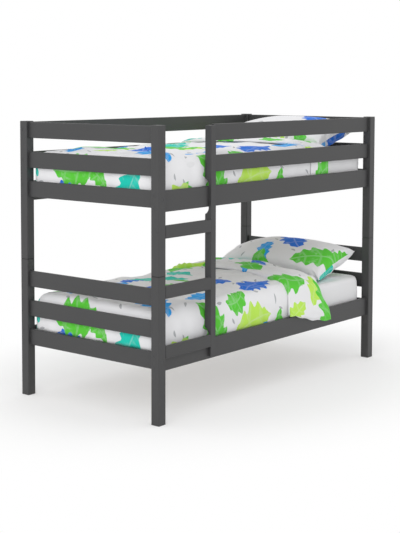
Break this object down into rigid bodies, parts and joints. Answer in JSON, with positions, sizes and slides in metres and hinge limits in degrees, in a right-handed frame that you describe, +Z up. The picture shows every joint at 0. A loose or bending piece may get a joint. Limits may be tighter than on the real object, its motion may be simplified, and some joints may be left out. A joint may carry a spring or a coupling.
{
  "type": "bunk bed",
  "caption": "Bunk bed of two single beds stacked post on post, with flat rails, a short bolted ladder at one corner, slatted bases, mattresses, duvets and pillows.",
  "frame": {"origin": "on the floor, under the middle of the bed", "axes": "+X from the foot end to the pillow end, +Y from the ladder side to the back, +Z up"},
  "size_m": [1.98, 0.982, 1.47],
  "materials": {
    "grey_paint": "satin anthracite paint on solid wood",
    "pine": "planed, unpainted",
    "beech": "turned, unpainted",
    "zinc_steel": "zinc plated",
    "sheet_cotton": "plain white fitted sheet over foam",
    "printed_cotton": "white cotton with a scattered print in greens and blue",
    "webbing": "woven tape"
  },
  "bodies": {
    "bed_frame": {"end_rail_screws": "zinc_steel", "guard_rail_back_low": "grey_paint", "guard_rail_back_top": "grey_paint", "guard_rail_front_low": "grey_paint", "guard_rail_front_top": "grey_paint", "guard_rail_screws": "zinc_steel", "ladder_rung_1": "grey_paint", "ladder_rung_2": "grey_paint", "ladder_rung_3": "grey_paint", "ladder_stile": "grey_paint", "lower_foot_end_rail_1": "grey_paint", "lower_foot_end_rail_2": "grey_paint", "lower_foot_end_rail_3": "grey_paint", "lower_head_end_rail_1": "grey_paint", "lower_head_end_rail_2": "grey_paint", "lower_head_end_rail_3": "grey_paint", "lower_post_back_foot": "grey_paint", "lower_post_back_head": "grey_paint", "lower_post_front_foot": "grey_paint", "lower_post_front_head": "grey_paint", "lower_side_rail_back": "grey_paint", "lower_side_rail_front": "grey_paint", "lower_slat_cleat_back": "pine", "lower_slat_cleat_front": "pine", "lower_slat_webbing": "webbing", "lower_slats": "pine", "post_joint_pins": "beech", "rung_screws": "zinc_steel", "side_rail_barrel_nuts": "zinc_steel", "side_rail_bolts": "zinc_steel", "slat_screws": "zinc_steel", "stile_screws": "zinc_steel", "upper_foot_end_rail_1": "grey_paint", "upper_foot_end_rail_2": "grey_paint", "upper_foot_end_rail_3": "grey_paint", "upper_head_end_rail_1": "grey_paint", "upper_head_end_rail_2": "grey_paint", "upper_head_end_rail_3": "grey_paint", "upper_post_back_foot": "grey_paint", "upper_post_back_head": "grey_paint", "upper_post_front_foot": "grey_paint", "upper_post_front_head": "grey_paint", "upper_side_rail_back": "grey_paint", "upper_side_rail_front": "grey_paint", "upper_slat_cleat_back": "pine", "upper_slat_cleat_front": "pine", "upper_slat_webbing": "webbing", "upper_slats": "pine"},
    "lower_bedding": {"lower_mattress": "sheet_cotton", "lower_duvet": "printed_cotton", "lower_pillow": "printed_cotton"},
    "upper_bedding": {"upper_mattress": "sheet_cotton", "upper_duvet": "printed_cotton", "upper_pillow": "printed_cotton"}
  },
  "joints": [
    {"name": "lower_bedding_lift", "type": "slide", "parent": "bed_frame", "child": "lower_bedding", "axis": [0, 0, 1], "range_m": [0, 0.15]},
    {"name": "upper_bedding_lift", "type": "slide", "parent": "bed_frame", "child": "upper_bedding", "axis": [0, 0, 1], "range_m": [0, 0.36]}
  ]
}
